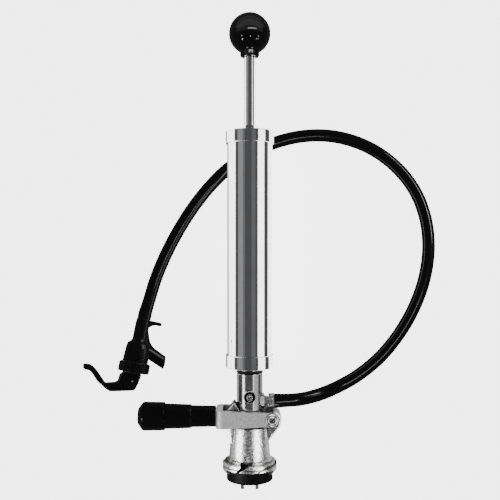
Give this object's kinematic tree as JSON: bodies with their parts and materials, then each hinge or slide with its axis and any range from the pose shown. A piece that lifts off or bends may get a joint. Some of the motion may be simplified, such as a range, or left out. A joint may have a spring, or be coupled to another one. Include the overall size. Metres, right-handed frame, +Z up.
{
  "type": "beer keg hand pump",
  "caption": "Hand air pump on a lever-handle keg coupler, with a black beer hose and a squeeze faucet, for tapping a beer keg without gas.",
  "frame": {"origin": "centre of the ball retainer's flat face at the probe's tip, on the pump's axis; the pump lies on its back on a table, 22.3 mm below the origin", "axes": "+Y from the probe towards the knob in plan (the pump's own axis rises 1.8 degrees above +Y), +X towards the beer outlet, +Z up from the table"},
  "size_m": [0.3045, 0.4012, 0.052],
  "materials": {
    "chrome": "polished, chrome plated",
    "steel": "plain stainless steel",
    "cast": "cast, plated, fine sandy grain",
    "brass": "turned",
    "seal_rubber": "matt black",
    "knob_plastic": "high gloss black",
    "grip_plastic": "satin black",
    "faucet_plastic": "satin to semi-gloss black",
    "hose_vinyl": "glossy black vinyl"
  },
  "bodies": {
    "pump": {"rod_bushing": "chrome", "top_cap": "chrome", "pump_tube": "chrome", "bottom_cap": "chrome", "base_nipple": "brass", "check_valve": "seal_rubber", "base_lock_ring": "chrome", "neck_gasket": "seal_rubber", "probe": "chrome", "probe_seal": "seal_rubber", "ball_retainer": "steel", "relief_body": "chrome", "relief_spring": "steel", "outlet_nipple": "chrome", "hose_collar": "steel", "faucet_body": "faucet_plastic", "faucet_nut": "faucet_plastic", "faucet_spring": "steel", "beer_hose": "hose_vinyl"},
    "rod": {"knob": "knob_plastic", "pump_rod": "chrome", "piston_top_washer": "steel", "piston_cup": "seal_rubber", "piston_bottom_washer": "steel", "piston_nut": "steel"},
    "coupler": {"coupler_body": "cast", "body_seal": "seal_rubber", "pivot_screw_front": "steel", "pivot_screw_back": "steel"},
    "lever": {"lever_fork": "cast", "cam_pin_front": "steel", "cam_pin_back": "steel", "handle_stem": "steel", "grip_spring": "steel"},
    "grip": {"latch_pin": "steel", "grip_sleeve": "grip_plastic", "grip_end_cap": "grip_plastic"},
    "relief_plunger": {"relief_plunger": "chrome"},
    "check_ball": {"beer_check_ball": "steel"},
    "faucet_stem": {"faucet_stem": "faucet_plastic", "faucet_seal": "seal_rubber", "faucet_pin": "steel"},
    "faucet_lever": {"faucet_lever": "faucet_plastic"}
  },
  "joints": [
    {"name": "rod_slide", "type": "slide", "parent": "pump", "child": "rod", "axis": [0, 0.9995, 0.0314], "range_m": [-0.055, 0.114]},
    {"name": "coupler_slide", "type": "slide", "parent": "pump", "child": "coupler", "axis": [0, -0.9995, -0.0314], "range_m": [0, 0.0104]},
    {"name": "lever_hinge", "type": "hinge", "parent": "coupler", "child": "lever", "pos_m": [0.0186, 0.05657, 0.00178], "axis": [0, 0.0314, -0.9995], "range_deg": [0, 34]},
    {"name": "grip_pull", "type": "slide", "parent": "lever", "child": "grip", "axis": [-1, 0, 0], "range_m": [0, 0.004], "stiffness_N_per_m": 800, "springref_m": -0.004, "deforming": ["grip_spring"]},
    {"name": "relief_lift", "type": "slide", "parent": "pump", "child": "relief_plunger", "axis": [0, -0.0314, 0.9995], "range_m": [0, 0.0022], "stiffness_N_per_m": 500, "springref_m": -0.002, "deforming": ["relief_spring"]},
    {"name": "ball_float", "type": "slide", "parent": "pump", "child": "check_ball", "axis": [0, 0.9995, 0.0314], "range_m": [0, 0.0036]},
    {"name": "faucet_stem_slide", "type": "slide", "parent": "pump", "child": "faucet_stem", "axis": [-0.1727, -0.9794, 0.1045], "range_m": [0, 0.0015], "stiffness_N_per_m": 1500, "springref_m": -0.002, "deforming": ["faucet_spring"]},
    {"name": "faucet_lever_hinge", "type": "hinge", "parent": "faucet_stem", "child": "faucet_lever", "pos_m": [-0.10169, 0.08504, -0.00754], "axis": [-0.3216, -0.0442, -0.9458], "range_deg": [0, 14]}
  ],
  "couplings": [
    {"joint": "lever_hinge", "follows": "coupler_slide", "rad_per_m": 57.05},
    {"joint": "faucet_lever_hinge", "follows": "faucet_stem_slide", "rad_per_m": 162.8}
  ]
}
